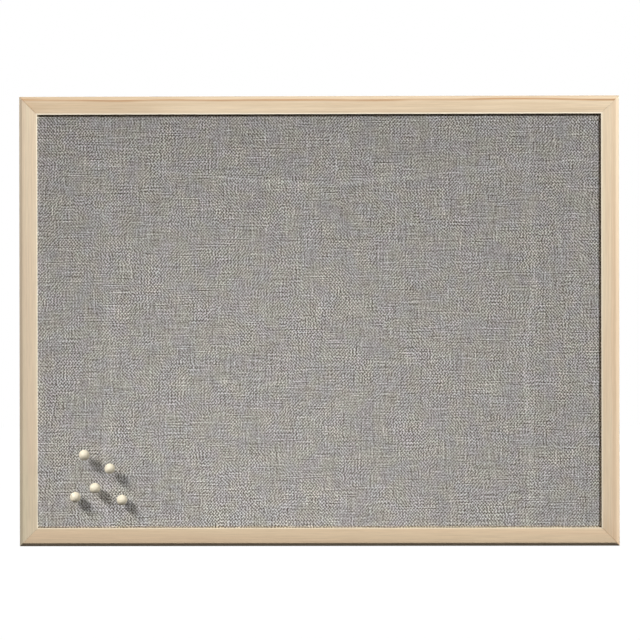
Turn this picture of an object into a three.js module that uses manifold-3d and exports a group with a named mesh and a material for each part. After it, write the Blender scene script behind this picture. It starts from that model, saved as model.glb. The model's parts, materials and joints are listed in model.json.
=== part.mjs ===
// A framed fabric pinboard: mitred pine members round a softboard panel wrapped in linen cloth, with
// wooden ball pins in the front and two swinging ring hangers on the back.
// Millimetres, +Z up. The front faces -Y and the wall is on the +Y side.
// The origin is the middle of the top rail's back face.
import * as THREE from "three";
import { mergeVertices } from "three/addons/utils/BufferGeometryUtils.js";
import Module from "manifold-3d";

const wasm = await Module();
wasm.setup();

// Frame moulding
const boardWidth = 600;
const boardHeight = 450;
const railWidth = 18.5; // sight edge to outer edge, seen from the front
const frameDepth = 19;
const outerChamfer = 3.5;
const innerArris = 0.8; // eased sight edge
const lipDepth = 2; // wood in front of the panel
const lipWidth = 8; // sight edge to rabbet wall
const mitreGap = 0.3; // glue line across each mitre

// Panel layers, from the lip to the back
const layerGap = 0.3;
const panelPlay = 0.8; // panel edge to rabbet wall
const clothThickness = 0.8;
const coreThickness = 9;
const hemWidth = 20; // cloth turned over the back of the core
const wrapRadius = 1.6; // outside bend of the cloth round the core
const backingThickness = 2.5;

// V-nails across the mitres, driven from behind
const vNailSeats = { outer: 15.5, inner: 11 }; // sight edge to the nail's outer corner
const vNailWing = 5;
const vNailThickness = 0.8;
const vNailHeight = 8;
const vNailSink = 0.5;
const slotClearance = 0.3;

// Flexible points that hold the backing in
const pointWidth = 6;
const pointThickness = 0.5;
const pointReach = 9; // over the backing, from the rabbet wall
const pointDriven = 5; // into the wood
const pointTaper = 2.5; // length of the driven tip
const pointCorner = 1.2; // rounding of the free end
const pointsPerRail = 3;
const pointsPerStile = 2;

// Ring hangers on the stiles
const hangerDrop = 75; // top edge of the board to the ring's axis
const hangerInset = 12.2; // sight edge to the middle of the strap
const strapWidth = 7;
const strapThickness = 0.8;
const strapLength = 27; // ring axis to the strap's lower end
const strapSeat = 0.3; // strap to wood
const wireRadius = 0.9;
const barrelPlay = 0.15; // wire to barrel
const ringRadius = 5.1; // middle of the wire
const ringLeg = 4; // ring axis to the middle of the ring's arc
const ringCorner = 1.4; // bend where the wire leaves the barrel
const ringJoint = 0.4; // gap between the wire's ends, inside the barrel
const upperScrewDrop = 14; // ring axis to the upper screw
const lowerScrewMargin = 5.5; // lower screw to the strap's lower end
const screwHeadRadius = 2.6;
const screwHeadHeight = 1.6;
const screwDome = 0.7; // rounded part of the head's height
const screwRadius = 1.2;
const screwLength = 9;
const screwTip = 3;
const screwSeat = 0.3; // head to strap
const screwClearance = 0.3;
const recessLength = 3.2; // cross recess in the screw head
const recessWidth = 0.7;
const recessDepth = 0.9;

// Wooden ball pins
const ballRadius = 5.25;
const ballFlatRadius = 1.6; // flat round the needle
const needleRadius = 0.55;
const needleLength = 10; // flat to tip
const needleTip = 3; // length of the point
const needleSocket = 6; // depth of the bore in the ball
const needleClearance = 0.3;
// Ball centre from the left and bottom sight edges, cloth to ball flat, and lean in degrees
const pins = [
  { fromLeft: 48.1, fromBottom: 73.7, standoff: 7.2, leanRight: -2, leanUp: 3 },
  { fromLeft: 73.3, fromBottom: 60.1, standoff: 6.5, leanRight: 3, leanUp: 2 },
  { fromLeft: 58.4, fromBottom: 40.6, standoff: 4.5, leanRight: -1.5, leanUp: -2.5 },
  { fromLeft: 38.6, fromBottom: 31.6, standoff: 3.7, leanRight: -3, leanUp: 1.5 },
  { fromLeft: 85.0, fromBottom: 28.8, standoff: 3.3, leanRight: 2.5, leanUp: -2 },
];

// Facets of round pieces, and how far apart points still count as one
const weldDistance = 1e-4;
const wrapSteps = 4;
const cornerSteps = 3;
const ballSides = 24;
const ballRings = 10;
const wireSides = 8;
const ringSteps = 34;
const turnedSides = 16;
const cutOver = 1; // how far a cutter stands past the surface it opens

// Places that follow from the sizes above
const openingWidth = boardWidth - 2 * railWidth;
const openingHeight = boardHeight - 2 * railWidth;
const panelOverlap = lipWidth - panelPlay;
const panelWidth = openingWidth + 2 * panelOverlap;
const panelHeight = openingHeight + 2 * panelOverlap;
const clothFront = lipDepth + layerGap - frameDepth;
const coreFront = clothFront + clothThickness + layerGap;
const coreBack = coreFront + coreThickness;
const clothBack = coreBack + layerGap + clothThickness;
const backingFront = clothBack + layerGap;
const pointFront = backingFront + backingThickness + layerGap;
const ballFlat = Math.sqrt(ballRadius ** 2 - ballFlatRadius ** 2);
const barrelBore = wireRadius + barrelPlay;
const barrelRadius = barrelBore + strapThickness;
const ringAxisBack = strapSeat + barrelRadius;
const hangerHeight = boardHeight / 2 - hangerDrop;
const screwDrops = { upper: upperScrewDrop, lower: strapLength - lowerScrewMargin };
const pilotDepth = screwLength + screwClearance - strapSeat - strapThickness - screwSeat;

const finish = (color, roughness, metalness = 0) =>
  new THREE.MeshStandardMaterial({ color, roughness, metalness });
const pine = finish(0xdcc3a0, 0.6);
const linen = finish(0x9a9792, 0.95);
const softboard = finish(0xa58a62, 0.95);
const hardboard = finish(0x7a5a3c, 0.8);
const springSteel = finish(0x8d8f92, 0.45, 1);
const zincSteel = finish(0xc6c8ca, 0.3, 1);
const paleWood = finish(0xefe6cc, 0.5);
const needleSteel = finish(0xb9bcc0, 0.25, 1);

// A closed geometry as a solid that can be cut
function solidOf(geometry) {
  const bare = geometry.clone();
  bare.deleteAttribute("normal");
  bare.deleteAttribute("uv");
  const merged = mergeVertices(bare, weldDistance);
  const corners = merged.index.array;
  const triangles = [];
  for (let i = 0; i < corners.length; i += 3) {
    const [a, b, c] = corners.slice(i, i + 3);
    if (a !== b && b !== c && c !== a) triangles.push(a, b, c);
  }
  return new wasm.Manifold(new wasm.Mesh({
    numProp: 3,
    vertProperties: new Float32Array(merged.attributes.position.array),
    triVerts: new Uint32Array(triangles),
  }));
}

function geometryOf(solid) {
  const mesh = solid.getMesh();
  const geometry = new THREE.BufferGeometry();
  geometry.setAttribute("position", new THREE.BufferAttribute(mesh.vertProperties, 3));
  geometry.setIndex(new THREE.BufferAttribute(mesh.triVerts, 1));
  const faceted = geometry.toNonIndexed();
  faceted.computeVertexNormals();
  return faceted;
}

function cut(geometry, tools) {
  let solid = solidOf(geometry);
  for (const tool of tools) solid = solid.subtract(solidOf(tool));
  return geometryOf(solid);
}

function piece(name, geometry, material) {
  const mesh = new THREE.Mesh(geometry, material);
  mesh.name = name;
  return mesh;
}

function box(sizes, centre) {
  return new THREE.BoxGeometry(...sizes).translate(...centre);
}

// A rectangle in the X-Z plane whose edges are rounded by radius, from front to back along Y
function roundedSlab(width, height, front, back, radius) {
  const outline = new THREE.Shape();
  outline.moveTo(-width / 2, -height / 2);
  outline.lineTo(width / 2, -height / 2);
  outline.lineTo(width / 2, height / 2);
  outline.lineTo(-width / 2, height / 2);
  outline.closePath();
  const slab = new THREE.ExtrudeGeometry(outline, {
    depth: back - front - 2 * radius,
    bevelThickness: radius,
    bevelSize: radius,
    bevelOffset: -radius,
    bevelSegments: wrapSteps,
  });
  return slab.rotateX(Math.PI / 2).translate(0, back - radius, 0);
}

// Points of a lathe profile along a circle about the axis, from one polar angle to another
function profileArc(radius, from, to, steps) {
  return Array.from({ length: steps + 1 }, (_, i) => {
    const angle = THREE.MathUtils.lerp(from, to, i / steps);
    const onAxis = i === steps && to === Math.PI / 2;
    return new THREE.Vector2(onAxis ? 0 : radius * Math.cos(angle), radius * Math.sin(angle));
  });
}

// Frame members: X runs along the member, Z points out of the opening, the front faces -Y
function railBlank(opening) {
  const profile = new THREE.Shape();
  profile.moveTo(innerArris, 0);
  profile.lineTo(railWidth - outerChamfer, 0);
  profile.lineTo(railWidth, outerChamfer);
  profile.lineTo(railWidth, frameDepth);
  profile.lineTo(lipWidth, frameDepth);
  profile.lineTo(lipWidth, lipDepth);
  profile.lineTo(0, lipDepth);
  profile.lineTo(0, innerArris);
  profile.closePath();
  const blank = new THREE.ExtrudeGeometry(profile, { depth: 1, bevelEnabled: false });
  const corners = blank.attributes.position;
  for (let i = 0; i < corners.count; i += 1) {
    const outward = corners.getX(i);
    const end = 1 - 2 * corners.getZ(i);
    const halfLength = opening / 2 + outward - mitreGap * Math.SQRT1_2;
    corners.setXYZ(i, end * halfLength, corners.getY(i) - frameDepth, outward);
  }
  return blank;
}

function vNailSlots(opening) {
  const depth = vNailSink + vNailHeight + slotClearance + cutOver;
  return [-1, 1].flatMap((end) => Object.values(vNailSeats).map((seat) => box(
    [vNailWing + 2 * slotClearance, depth, vNailThickness + 2 * slotClearance],
    [end * (opening / 2 + seat - vNailWing / 2), cutOver - depth / 2, seat - vNailThickness / 2],
  )));
}

function pointPlaces(opening, count) {
  return Array.from({ length: count }, (_, i) => ((i + 0.5) / count - 0.5) * opening);
}

function pointSlot(along) {
  const length = pointDriven + slotClearance + cutOver;
  return box(
    [pointWidth + 2 * slotClearance, pointThickness + 2 * slotClearance, length],
    [along, pointFront + pointThickness / 2, lipWidth - cutOver + length / 2],
  );
}

function pointBlank() {
  const half = pointWidth / 2;
  const free = lipWidth - pointReach;
  const tip = lipWidth + pointDriven;
  const outline = new THREE.Shape();
  outline.moveTo(half, free + pointCorner);
  outline.lineTo(half, tip - pointTaper);
  outline.lineTo(0, tip);
  outline.lineTo(-half, tip - pointTaper);
  outline.absarc(-half + pointCorner, free + pointCorner, pointCorner, Math.PI, 1.5 * Math.PI);
  outline.absarc(half - pointCorner, free + pointCorner, pointCorner, 1.5 * Math.PI, 2 * Math.PI);
  const strip = new THREE.ExtrudeGeometry(outline, {
    depth: pointThickness,
    bevelEnabled: false,
    curveSegments: cornerSteps,
  });
  return strip.rotateX(Math.PI / 2).translate(0, pointFront + pointThickness, 0);
}

function frameMember(name, pointName, opening, count, pilotHoles) {
  const member = new THREE.Group();
  const places = pointPlaces(opening, count);
  const cuts = [...vNailSlots(opening), ...places.map(pointSlot), ...pilotHoles];
  member.add(piece(name, cut(railBlank(opening), cuts), pine));
  places.forEach((along, i) => {
    const point = piece(`${pointName}_${i + 1}`, pointBlank(), springSteel);
    point.position.x = along;
    member.add(point);
  });
  return member;
}

// One V-nail, with its outer corner at the origin and its wings along -X and -Z
function vNailBlank() {
  const outline = new THREE.Shape();
  outline.moveTo(0, 0);
  outline.lineTo(-vNailWing, 0);
  outline.lineTo(-vNailWing, -vNailThickness);
  outline.lineTo(-vNailThickness, -vNailThickness);
  outline.lineTo(-vNailThickness, -vNailWing);
  outline.lineTo(0, -vNailWing);
  outline.closePath();
  const nail = new THREE.ExtrudeGeometry(outline, { depth: vNailHeight, bevelEnabled: false });
  return nail.rotateX(Math.PI / 2).translate(0, -vNailSink, 0);
}

// Clearance hole for a hanger screw, along Y
function screwBore(back, front) {
  const radius = screwRadius + screwClearance;
  const bore = new THREE.CylinderGeometry(radius, radius, back - front, turnedSides);
  return bore.translate(0, (back + front) / 2, 0);
}

// Ring hanger, with its ring axis along X through the origin and the wood on the -Y side
function strapBlank() {
  const woodSide = -barrelRadius;
  const freeSide = woodSide + strapThickness;
  const section = new THREE.Shape();
  section.moveTo(woodSide, -strapLength);
  section.lineTo(freeSide, -strapLength);
  const rollEnd = Math.atan2(-Math.sqrt(barrelRadius ** 2 - freeSide ** 2), freeSide);
  section.absarc(0, 0, barrelRadius, rollEnd, Math.PI);
  section.closePath();
  section.holes.push(new THREE.Path().absarc(0, 0, barrelBore, 0, 2 * Math.PI, true));
  const rolled = new THREE.ExtrudeGeometry(section, {
    depth: strapWidth,
    bevelEnabled: false,
    curveSegments: turnedSides,
  });
  const axes = new THREE.Matrix4().makeBasis(
    new THREE.Vector3(0, 1, 0),
    new THREE.Vector3(0, 0, 1),
    new THREE.Vector3(1, 0, 0),
  );
  rolled.applyMatrix4(axes).translate(-strapWidth / 2, 0, 0);

  const half = strapWidth / 2;
  const outline = new THREE.Shape();
  outline.moveTo(half + cutOver, barrelRadius + cutOver);
  outline.lineTo(-half - cutOver, barrelRadius + cutOver);
  outline.lineTo(-half - cutOver, half - strapLength);
  outline.absarc(0, half - strapLength, half, Math.PI, 2 * Math.PI);
  outline.lineTo(half + cutOver, half - strapLength);
  outline.closePath();
  const through = 2 * (barrelRadius + cutOver);
  const roundEnd = new THREE.ExtrudeGeometry(outline, { depth: through, bevelEnabled: false });
  roundEnd.rotateX(Math.PI / 2).translate(0, through / 2, 0);
  const shaped = geometryOf(solidOf(rolled).intersect(solidOf(roundEnd)));
  const bores = Object.values(screwDrops).map((drop) =>
    screwBore(freeSide + cutOver, woodSide - cutOver).translate(0, 0, -drop));
  return cut(shaped, bores);
}

function ringBlank() {
  const at = (x, z) => new THREE.Vector3(x, 0, z);
  const half = ringJoint / 2;
  const path = new THREE.CurvePath();
  path.add(new THREE.LineCurve3(at(half, 0), at(ringRadius - ringCorner, 0)));
  path.add(new THREE.QuadraticBezierCurve3(
    at(ringRadius - ringCorner, 0),
    at(ringRadius, 0),
    at(ringRadius, -ringCorner),
  ));
  path.add(new THREE.LineCurve3(at(ringRadius, -ringCorner), at(ringRadius, -ringLeg)));
  const arc = Array.from({ length: turnedSides + 1 }, (_, i) => {
    const angle = -Math.PI * (i / turnedSides);
    return at(ringRadius * Math.cos(angle), -ringLeg + ringRadius * Math.sin(angle));
  });
  arc.slice(1).forEach((end, i) => path.add(new THREE.LineCurve3(arc[i], end)));
  path.add(new THREE.LineCurve3(at(-ringRadius, -ringLeg), at(-ringRadius, -ringCorner)));
  path.add(new THREE.QuadraticBezierCurve3(
    at(-ringRadius, -ringCorner),
    at(-ringRadius, 0),
    at(ringCorner - ringRadius, 0),
  ));
  path.add(new THREE.LineCurve3(at(ringCorner - ringRadius, 0), at(-half, 0)));
  const section = new THREE.Shape(Array.from({ length: wireSides }, (_, i) => {
    const angle = (2 * Math.PI * (i + 0.5)) / wireSides;
    return new THREE.Vector2(wireRadius * Math.cos(angle), wireRadius * Math.sin(angle));
  }));
  return new THREE.ExtrudeGeometry(section, { steps: ringSteps, extrudePath: path });
}

function screwBlank() {
  const headFoot = screwSeat;
  const shankEnd = headFoot - screwLength;
  const headTop = headFoot + screwHeadHeight;
  const domeRadius = (screwHeadRadius ** 2 + screwDome ** 2) / (2 * screwDome);
  const rim = Math.asin((domeRadius - screwDome) / domeRadius);
  const dome = profileArc(domeRadius, rim, Math.PI / 2, cornerSteps);
  const profile = [
    new THREE.Vector2(0, shankEnd),
    new THREE.Vector2(screwRadius, shankEnd + screwTip),
    new THREE.Vector2(screwRadius, headFoot),
    new THREE.Vector2(screwHeadRadius, headFoot),
    ...dome.map((spot) => new THREE.Vector2(spot.x, spot.y + headTop - domeRadius)),
  ];
  const turned = new THREE.LatheGeometry(profile, turnedSides);
  const recessTop = headTop + cutOver;
  const recessFoot = headTop - recessDepth;
  const height = recessTop - recessFoot;
  const middle = (recessTop + recessFoot) / 2;
  return cut(turned, [
    box([recessLength, height, recessWidth], [0, middle, 0]),
    box([recessWidth, height, recessLength], [0, middle, 0]),
  ]);
}

function hanger(side) {
  const assembly = new THREE.Group();
  assembly.add(piece(`hanger_strap_${side}`, strapBlank(), zincSteel));
  assembly.add(piece(`hanger_ring_${side}`, ringBlank(), zincSteel));
  for (const [place, drop] of Object.entries(screwDrops)) {
    const screw = piece(`hanger_screw_${side}_${place}`, screwBlank(), zincSteel);
    screw.position.set(0, strapThickness - barrelRadius, -drop);
    assembly.add(screw);
  }
  return assembly;
}

// Pins: the axis runs along Y with the ball's centre at the origin and the needle towards +Y
function ballBlank() {
  const boreEnd = needleSocket - ballFlat;
  const boreRadius = needleRadius + needleClearance;
  const profile = [
    new THREE.Vector2(0, boreEnd),
    new THREE.Vector2(boreRadius, boreEnd),
    new THREE.Vector2(boreRadius, -ballFlat),
    ...profileArc(ballRadius, Math.atan2(-ballFlat, ballFlatRadius), Math.PI / 2, ballRings),
  ];
  return new THREE.LatheGeometry(profile, ballSides).rotateX(Math.PI);
}

function needleBlank() {
  const tip = -ballFlat - needleLength;
  const top = needleSocket - needleClearance - ballFlat;
  const profile = [
    new THREE.Vector2(0, tip),
    new THREE.Vector2(needleRadius, tip + needleTip),
    new THREE.Vector2(needleRadius, top),
    new THREE.Vector2(0, top),
  ];
  return new THREE.LatheGeometry(profile, turnedSides).rotateX(Math.PI);
}

function pinGroup(pin, number) {
  const group = new THREE.Group();
  group.position.set(
    pin.fromLeft - openingWidth / 2,
    clothFront - pin.standoff - ballFlat,
    pin.fromBottom - openingHeight / 2,
  );
  group.rotation.set(
    -THREE.MathUtils.degToRad(pin.leanUp),
    0,
    THREE.MathUtils.degToRad(pin.leanRight),
  );
  group.add(piece(`pin_head_${number}`, ballBlank(), paleWood));
  group.add(piece(`pin_needle_${number}`, needleBlank(), needleSteel));
  return group;
}

function needleHole(group) {
  const radius = needleRadius + needleClearance;
  const reach = ballFlat + needleLength + coreThickness + frameDepth;
  const hole = new THREE.CylinderGeometry(radius, radius, reach, turnedSides);
  group.updateMatrix();
  return hole.translate(0, reach / 2, 0).applyMatrix4(group.matrix);
}

// Panel: cloth, core and backing
function clothBlank(holes) {
  const pocketWidth = panelWidth - 2 * clothThickness;
  const pocketHeight = panelHeight - 2 * clothThickness;
  const pocketRadius = wrapRadius - clothThickness;
  const wrapped = roundedSlab(panelWidth, panelHeight, clothFront, clothBack, wrapRadius);
  const pocket = roundedSlab(
    pocketWidth,
    pocketHeight,
    clothFront + clothThickness,
    clothBack - clothThickness,
    pocketRadius,
  );
  const window = box(
    [pocketWidth - 2 * hemWidth, 2 * clothThickness, pocketHeight - 2 * hemWidth],
    [0, clothBack - clothThickness / 2, 0],
  );
  return cut(wrapped, [pocket, window, ...holes]);
}

function coreBlank(holes) {
  const margin = 2 * (clothThickness + layerGap);
  const radius = wrapRadius - clothThickness;
  const slab = roundedSlab(panelWidth - margin, panelHeight - margin, coreFront, coreBack, radius);
  return cut(slab, holes);
}

function backingBlank() {
  return box(
    [panelWidth, backingThickness, panelHeight],
    [0, backingFront + backingThickness / 2, 0],
  );
}

const board = new THREE.Group();
board.position.z = -(lipWidth + railWidth) / 2 - openingHeight / 2;

const memberTurn = { top: 0, right: Math.PI / 2, bottom: Math.PI, left: -Math.PI / 2 };
for (const side of ["top", "bottom"]) {
  const rail = frameMember(`${side}_rail`, `point_${side}`, openingWidth, pointsPerRail, []);
  rail.position.z = (side === "top" ? 1 : -1) * (openingHeight / 2);
  rail.rotation.y = memberTurn[side];
  board.add(rail);
}
for (const side of ["left", "right"]) {
  const outward = side === "right" ? 1 : -1;
  const pilotHoles = Object.values(screwDrops).map((drop) => {
    const along = -outward * (hangerHeight - drop);
    return screwBore(cutOver, -pilotDepth).translate(along, 0, hangerInset);
  });
  const stile = frameMember(
    `${side}_stile`,
    `point_${side}`,
    openingHeight,
    pointsPerStile,
    pilotHoles,
  );
  stile.position.x = outward * (openingWidth / 2);
  stile.rotation.y = memberTurn[side];
  board.add(stile);

  const fitting = hanger(side);
  fitting.position.set(outward * (openingWidth / 2 + hangerInset), ringAxisBack, hangerHeight);
  board.add(fitting);
}

const corners = {
  top_right: [1, 1, 0],
  bottom_right: [1, -1, 1],
  bottom_left: [-1, -1, 2],
  top_left: [-1, 1, 3],
};
for (const [corner, [right, up, quarterTurns]] of Object.entries(corners)) {
  for (const [place, seat] of Object.entries(vNailSeats)) {
    const nail = piece(`v_nail_${corner}_${place}`, vNailBlank(), springSteel);
    nail.position.set(right * (openingWidth / 2 + seat), 0, up * (openingHeight / 2 + seat));
    nail.rotation.y = quarterTurns * (Math.PI / 2);
    board.add(nail);
  }
}

const pinGroups = pins.map((pin, i) => pinGroup(pin, i + 1));
board.add(...pinGroups);
board.add(piece("fabric_cover", clothBlank(pinGroups.map(needleHole)), linen));
board.add(piece("pin_core", coreBlank(pinGroups.map(needleHole)), softboard));
board.add(piece("backing_board", backingBlank(), hardboard));

const pinboard = new THREE.Group();
pinboard.add(board);

export default pinboard;
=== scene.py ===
import json
from math import asin, atan, atan2, copysign, cos, exp, pi, radians, sin, sqrt

import bmesh
import bpy
from bmesh.types import BMEdge, BMFace, BMVert
from mathutils import Matrix, Vector, noise


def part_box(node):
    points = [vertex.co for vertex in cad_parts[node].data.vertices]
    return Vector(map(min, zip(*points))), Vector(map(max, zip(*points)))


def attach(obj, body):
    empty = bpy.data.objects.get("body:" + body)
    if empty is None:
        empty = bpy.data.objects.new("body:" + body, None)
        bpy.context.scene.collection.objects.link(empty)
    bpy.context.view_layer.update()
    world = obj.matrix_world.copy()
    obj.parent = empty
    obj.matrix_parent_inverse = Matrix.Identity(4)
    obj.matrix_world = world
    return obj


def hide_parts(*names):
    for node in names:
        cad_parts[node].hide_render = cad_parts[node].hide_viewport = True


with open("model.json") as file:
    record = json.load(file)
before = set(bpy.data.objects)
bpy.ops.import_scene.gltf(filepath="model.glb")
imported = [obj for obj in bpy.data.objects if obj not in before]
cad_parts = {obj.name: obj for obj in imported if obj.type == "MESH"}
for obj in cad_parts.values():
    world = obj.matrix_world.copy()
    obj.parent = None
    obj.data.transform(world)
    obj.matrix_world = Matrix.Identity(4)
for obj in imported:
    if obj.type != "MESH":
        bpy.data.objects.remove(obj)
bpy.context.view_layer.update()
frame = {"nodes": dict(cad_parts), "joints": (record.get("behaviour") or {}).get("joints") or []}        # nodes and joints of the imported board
scene = bpy.context.scene
scene.view_settings.view_transform = "Standard"
mm = 0.001
quarter = pi / 2

# Camera, straight in front of the board with a slight turn to the left
cameraSettings = {
    "place": (0.01293, -1.79327, -0.219),
    "turn": (90.0097, 0.1024, 0.3872),  # degrees
    "lens": 100,
    "sensor": 36,
}
camera = bpy.data.objects.new("camera", bpy.data.cameras.new("camera"))
camera.data.lens = cameraSettings["lens"]
camera.data.sensor_width = cameraSettings["sensor"]
camera.location = cameraSettings["place"]
camera.rotation_euler = [radians(angle) for angle in cameraSettings["turn"]]
scene.collection.objects.link(camera)
scene.camera = camera


# Node helpers
def addNode(tree, kind, inputs=None, **settings):
    made = tree.nodes.new("ShaderNode" + kind)
    for key, value in settings.items():
        setattr(made, key, value)
    for key, value in (inputs or {}).items():
        if isinstance(value, bpy.types.NodeSocket):
            tree.links.new(value, made.inputs[key])
        else:
            made.inputs[key].default_value = value
    return made


def nextNode(kind, inputs, **settings):  # in the tree that its first linked input comes from
    tree = next(value.id_data for value in inputs.values() if isinstance(value, bpy.types.NodeSocket))
    return addNode(tree, kind, inputs, **settings)


def calc(operation, *values):
    return nextNode("Math", dict(enumerate(values)), operation=operation).outputs[0]


def vectorCalc(operation, *values):
    return nextNode("VectorMath", dict(enumerate(values)), operation=operation).outputs[0]


def add(total, *values):
    for value in values:
        total = calc("ADD", total, value)
    return total


def less(value, taken):
    return calc("SUBTRACT", value, taken)


def times(product, *values):
    for value in values:
        product = calc("MULTIPLY", product, value)
    return product


def joinXYZ(x, y, z):
    return nextNode("CombineXYZ", {0: x, 1: y, 2: z}).outputs[0]


def splitXYZ(vector):
    return nextNode("SeparateXYZ", {0: vector}).outputs


def remap(value, span, toSpan=(0.0, 1.0)):
    ends = dict(zip(("From Min", "From Max", "To Min", "To Max"), (*span, *toSpan)))
    return nextNode("MapRange", {"Value": value, **ends}, interpolation_type="SMOOTHSTEP").outputs[0]


def mixTones(share, first, second, mode="MIX"):
    inputs = {0: share, 6: first, 7: second}
    return nextNode("Mix", inputs, data_type="RGBA", blend_type=mode).outputs[2]


def shadeTone(tone, shade):
    return mixTones(1.0, tone, joinXYZ(shade, shade, shade), "MULTIPLY")


def mottle(place, scale, detail=1.0, rough=0.5, output=0):  # output 1 is three noises as a colour
    inputs = {"Vector": place, "Scale": scale, "Detail": detail, "Roughness": rough}
    return nextNode("TexNoise", inputs).outputs[output]


def grain(place, scales, detail=1.0, rough=0.5):  # a noise with its own scale on each axis
    return mottle(vectorCalc("MULTIPLY", place, scales), 1.0, detail, rough)


def swing(value, reach, middle=0.5):  # makes a noise an offset to both sides
    return times(less(value, middle), reach)


def hump(offset, width):  # 1 in the middle, falling off on both sides
    ratio = calc("DIVIDE", offset, width)
    return calc("EXPONENT", times(ratio, ratio, -1.0))


def ringLines(across, pitch, edge):  # a higher edge makes thinner lines
    return calc("POWER", calc("FRACT", calc("DIVIDE", across, pitch)), edge)


def newPattern(name, takes):  # a tuple is a colour, a number a value and None a vector
    pattern = bpy.data.node_groups.new(name, "ShaderNodeTree")
    for label, value in {"Place": None, **takes}.items():
        kind = "Vector" if value is None else "Color" if isinstance(value, tuple) else "Float"
        socket = pattern.interface.new_socket(name=label, in_out="INPUT", socket_type="NodeSocket" + kind)
        if value is not None:
            socket.default_value = value
    return pattern.nodes.new("NodeGroupInput").outputs


def endPattern(tone, roughness, height):
    pattern = tone.id_data
    for label, kind in {"Color": "Color", "Roughness": "Float", "Height": "Float"}.items():
        pattern.interface.new_socket(name=label, in_out="OUTPUT", socket_type="NodeSocket" + kind)
    sockets = pattern.nodes.new("NodeGroupOutput").inputs
    for value, socket in zip((tone, roughness, height), sockets):
        pattern.links.new(value, socket)
    return pattern


# Spans of a noise over which a pattern comes in
wideSpan = (0.2, 0.8)
midSpan = (0.3, 0.7)
closeSpan = (0.36, 0.64)
fleckSpan = (0.56, 0.72)
coarse = 0.6  # roughness of a noise

# Pine: long streaks, faint ring lines, fibres and a paler sight edge, partly rubbed wear and partly a
# painted highlight, with a brown line or a pinkish band on the boards that have one. X runs along the
# board and Z out from its sight edge.
pineSettings = {
    "streaks": (2.6, 90, 150),  # noise scales along, into and across the board
    "streakShare": 0.75,
    "patches": (11, 40, 40),
    "patchShare": 0.35,
    "paleEnd": 250 * mm,  # length over which one end turns paler
    "bandWidth": 2.4 * mm,
    "ringPitch": 2.7 * mm,
    "ringTilt": 0.45,
    "ringEdge": 5.0,
    "ringSway": (5, 30, 30),
    "ringReach": 5.5 * mm,
    "ringFade": (7, 120, 120),
    "ringSpan": (0.4, 0.65),
    "ringDepth": 0.5,
    "lineWidth": 1.05 * mm,
    "lineReach": 5.0 * mm,
    "lineScale": 8.0,
    "lineFade": 13.0,
    "lineSeed": 3.7,
    "lineSpans": ((0.3, 0.6), (0.6, 1.0)),  # noise, strength
    "stainWidth": 0.6 * mm,
    "stainReach": 2.6 * mm,
    "stainMiddle": 0.25,
    "stainScale": 200.0,
    "shadedEnd": (-24 * mm, -1 * mm),  # from the mitre
    "rubHighlightStart": 0.3 * mm,
    "rubHighlightStrength": 0.8,
    "fibres": (45, 1500, 1500),
    "fibreSpan": (0.25, 0.75),
    "fibreShade": (0.93, 1.06),
    "roughness": (0.46, 0.62),
}


def makePineGrain():
    s = pineSettings
    takes = {
        "Pale": (0.74, 0.60, 0.42, 1),
        "Blush": (0.72, 0.53, 0.36, 1),
        "Late": (0.40, 0.22, 0.10, 1),
        "Rubbed Highlight": (0.88, 0.79, 0.63, 1),
        "Band Tone": (0.58, 0.425, 0.28, 1),
        "Rub Highlight Reach": 1.3 * mm,
        "Ring Strength": 0.2,
        "Stained End": 1.0,
    }
    for kind in ("Band", "Line"):
        takes.update({kind + " Place": 0.0, kind + " Strength": 0.0})
    takes.update({"Start": 0.0, "Drift": 0.0, "Mitre Place": 0.0, "Mitre Stain": 0.0, "End Shade": 0.0})
    entry = newPattern("pineGrain", takes)
    axes = splitXYZ(entry["Place"])
    along = add(axes["X"], entry["Start"])
    place = joinXYZ(along, axes["Y"], axes["Z"])

    streak = remap(grain(place, s["streaks"], 2.0), closeSpan)
    patch = remap(grain(place, s["patches"]), midSpan, (0.0, s["patchShare"]))
    drift = remap(axes["X"], (-s["paleEnd"], 0.0), (-1.0, 1.0))
    blush = add(times(streak, s["streakShare"]), patch, times(drift, entry["Drift"]))
    band = times(hump(less(axes["Z"], entry["Band Place"]), s["bandWidth"]), entry["Band Strength"])

    sway = swing(grain(place, s["ringSway"]), s["ringReach"])
    across = add(axes["Z"], times(axes["Y"], s["ringTilt"]), sway)
    rings = ringLines(across, s["ringPitch"], s["ringEdge"])
    rings = times(rings, remap(grain(place, s["ringFade"]), s["ringSpan"]))

    stray = mottle(joinXYZ(along, 0.0, 0.0), s["lineScale"])
    offset = less(less(axes["Z"], entry["Line Place"]), swing(stray, s["lineReach"]))
    showing = mottle(joinXYZ(along, s["lineSeed"], 0.0), s["lineFade"])
    line = times(hump(offset, s["lineWidth"]), remap(showing, *s["lineSpans"]))

    # one end can be darker, with a stained line beside its mitre
    past = less(less(times(axes["X"], entry["Stained End"]), axes["Z"]), entry["Mitre Place"])
    bend = mottle(joinXYZ(axes["Z"], 0.0, entry["Start"]), s["stainScale"])
    stain = hump(add(past, swing(bend, s["stainReach"], s["stainMiddle"])), s["stainWidth"])
    shaded = remap(past, s["shadedEnd"])

    late = times(rings, entry["Ring Strength"])
    for part, strength in ((line, "Line Strength"), (stain, "Mitre Stain"), (shaded, "End Shade")):
        late = add(late, times(part, entry[strength]))
    # wear and painted highlight: the sight edge turns paler, more so on the boards whose eased edge faces
    # away from the lamps
    rubbedHighlight = remap(axes["Z"], (s["rubHighlightStart"], entry["Rub Highlight Reach"]), (s["rubHighlightStrength"], 0.0))
    tone = mixTones(blush, entry["Pale"], entry["Blush"])
    for share, other in ((band, "Band Tone"), (late, "Late"), (rubbedHighlight, "Rubbed Highlight")):
        tone = mixTones(share, tone, entry[other])
    fibre = grain(place, s["fibres"], 3.0, coarse)
    tone = shadeTone(tone, remap(fibre, s["fibreSpan"], s["fibreShade"]))
    height = less(fibre, times(rings, s["ringDepth"]))
    return endPattern(tone, remap(fibre, wideSpan, s["roughness"]), height)
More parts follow.
